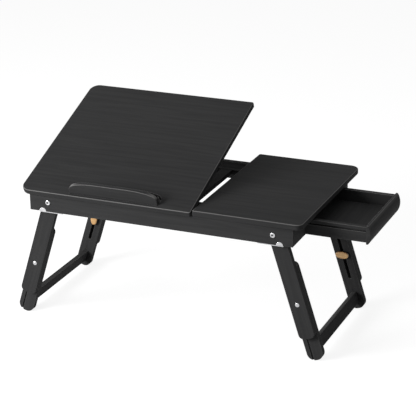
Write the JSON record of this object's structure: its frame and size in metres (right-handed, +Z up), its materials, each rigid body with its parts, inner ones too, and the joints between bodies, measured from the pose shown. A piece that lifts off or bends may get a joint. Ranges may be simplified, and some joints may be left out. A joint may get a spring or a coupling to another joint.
{
  "type": "folding_laptop_stand",
  "caption": "Folding laptop stand: tilting panel with a fold-down stop ledge, fixed top over a side drawer, and splayed legs that slide for height and fold flat.",
  "frame": {"origin": "On the ground, under the middle of the whole stand with its drawer open and its panel raised", "axes": "X runs from the tilting panel to the drawer, Y from front to rear, Z up"},
  "size_m": [0.7336, 0.3606, 0.4037],
  "materials": {
    "black_wood": "satin black paint over fine-grained board",
    "knob_wood": "clear satin varnish",
    "steel": "bright zinc-plated"
  },
  "bodies": {
    "frame": {"front_rail": "black_wood", "rear_rail": "black_wood", "left_end_board": "black_wood", "right_end_front": "black_wood", "right_end_rear": "black_wood", "front_bearer": "black_wood", "rear_bearer": "black_wood", "bay_divider": "black_wood", "rest_laths": "black_wood", "prop_racks": "black_wood", "drawer_runners": "black_wood", "fixed_top": "black_wood", "hinge_frame_leaves": "steel", "leg_pivot_bolts": "steel", "leg_pivot_nuts": "steel"},
    "panel": {"tilt_panel": "black_wood", "hinge_panel_leaves": "steel", "hinge_pins": "steel", "prop_brackets": "steel"},
    "ledge": {"stop_ledge": "black_wood", "ledge_pins": "steel"},
    "prop": {"prop_arms": "black_wood", "prop_crosspiece": "black_wood", "prop_rod": "steel"},
    "drawer": {"drawer_front": "black_wood", "drawer_side_front": "black_wood", "drawer_side_rear": "black_wood", "drawer_back": "black_wood", "drawer_bottom": "black_wood"},
    "left_upper_legs": {"left_front_upper_leg": "black_wood", "left_rear_upper_leg": "black_wood", "left_guide_strips": "steel", "left_height_bolts": "steel"},
    "left_lower_legs": {"left_front_lower_leg": "black_wood", "left_rear_lower_leg": "black_wood", "left_crossbar": "black_wood", "left_crossbar_dowels": "knob_wood"},
    "left_front_knob_body": {"left_front_knob": "knob_wood"},
    "left_front_lock": {"left_front_lock_strip": "steel", "left_front_lock_lug": "steel"},
    "left_rear_knob_body": {"left_rear_knob": "knob_wood"},
    "left_rear_lock": {"left_rear_lock_strip": "steel", "left_rear_lock_lug": "steel"},
    "right_upper_legs": {"right_front_upper_leg": "black_wood", "right_rear_upper_leg": "black_wood", "right_guide_strips": "steel", "right_height_bolts": "steel"},
    "right_lower_legs": {"right_front_lower_leg": "black_wood", "right_rear_lower_leg": "black_wood", "right_crossbar": "black_wood", "right_crossbar_dowels": "knob_wood"},
    "right_front_knob_body": {"right_front_knob": "knob_wood"},
    "right_front_lock": {"right_front_lock_strip": "steel", "right_front_lock_lug": "steel"},
    "right_rear_knob_body": {"right_rear_knob": "knob_wood"},
    "right_rear_lock": {"right_rear_lock_strip": "steel", "right_rear_lock_lug": "steel"}
  },
  "joints": [
    {"name": "panel_tilt", "type": "hinge", "parent": "frame", "child": "panel", "pos_m": [-0.14862, -0.1652, 0.27378], "axis": [-1, 0, 0], "range_deg": [-6, 20.25]},
    {"name": "ledge_flip", "type": "hinge", "parent": "panel", "child": "ledge", "pos_m": [-0.14862, -0.16545, 0.28169], "axis": [-1, 0, 0], "range_deg": [0, 90]},
    {"name": "prop_swing", "type": "hinge", "parent": "panel", "child": "prop", "pos_m": [-0.14862, -0.01357, 0.32507], "axis": [1, 0, 0], "range_deg": [-16.86, 56.71]},
    {"name": "drawer_slide", "type": "slide", "parent": "frame", "child": "drawer", "axis": [-1, 0, 0], "range_m": [-0.02, 0.125]},
    {"name": "left_leg_fold", "type": "hinge", "parent": "frame", "child": "left_upper_legs", "pos_m": [-0.27416, -0.00769, 0.25698], "axis": [0, -1, 0], "range_deg": [0, 107.5]},
    {"name": "left_height", "type": "slide", "parent": "left_upper_legs", "child": "left_lower_legs", "axis": [0.3007, 0, 0.9537], "range_m": [-0.03, 0.045]},
    {"name": "left_front_knob_turn", "type": "hinge", "parent": "left_upper_legs", "child": "left_front_knob_body", "pos_m": [-0.31873, -0.12579, 0.11564], "axis": [0, 1, 0], "continuous": true},
    {"name": "left_front_lock_pull", "type": "slide", "parent": "frame", "child": "left_front_lock", "axis": [0, -1, 0], "range_m": [0, 0.004], "stiffness_N_per_m": 800},
    {"name": "left_rear_knob_turn", "type": "hinge", "parent": "left_upper_legs", "child": "left_rear_knob_body", "pos_m": [-0.31873, 0.11041, 0.11564], "axis": [0, 1, 0], "continuous": true},
    {"name": "left_rear_lock_pull", "type": "slide", "parent": "frame", "child": "left_rear_lock", "axis": [0, 1, 0], "range_m": [0, 0.004], "stiffness_N_per_m": 800},
    {"name": "right_leg_fold", "type": "hinge", "parent": "frame", "child": "right_upper_legs", "pos_m": [0.19893, -0.00769, 0.25698], "axis": [0, 1, 0], "range_deg": [0, 107.5]},
    {"name": "right_height", "type": "slide", "parent": "right_upper_legs", "child": "right_lower_legs", "axis": [-0.3007, 0, 0.9537], "range_m": [-0.03, 0.045]},
    {"name": "right_front_knob_turn", "type": "hinge", "parent": "right_upper_legs", "child": "right_front_knob_body", "pos_m": [0.24349, -0.12579, 0.11564], "axis": [0, 1, 0], "continuous": true},
    {"name": "right_front_lock_pull", "type": "slide", "parent": "frame", "child": "right_front_lock", "axis": [0, -1, 0], "range_m": [0, 0.004], "stiffness_N_per_m": 800},
    {"name": "right_rear_knob_turn", "type": "hinge", "parent": "right_upper_legs", "child": "right_rear_knob_body", "pos_m": [0.24349, 0.11041, 0.11564], "axis": [0, 1, 0], "continuous": true},
    {"name": "right_rear_lock_pull", "type": "slide", "parent": "frame", "child": "right_rear_lock", "axis": [0, 1, 0], "range_m": [0, 0.004], "stiffness_N_per_m": 800}
  ],
  "couplings": [
    {"joint": "prop_swing", "follows": "panel_tilt", "ratio": 2.7934}
  ]
}
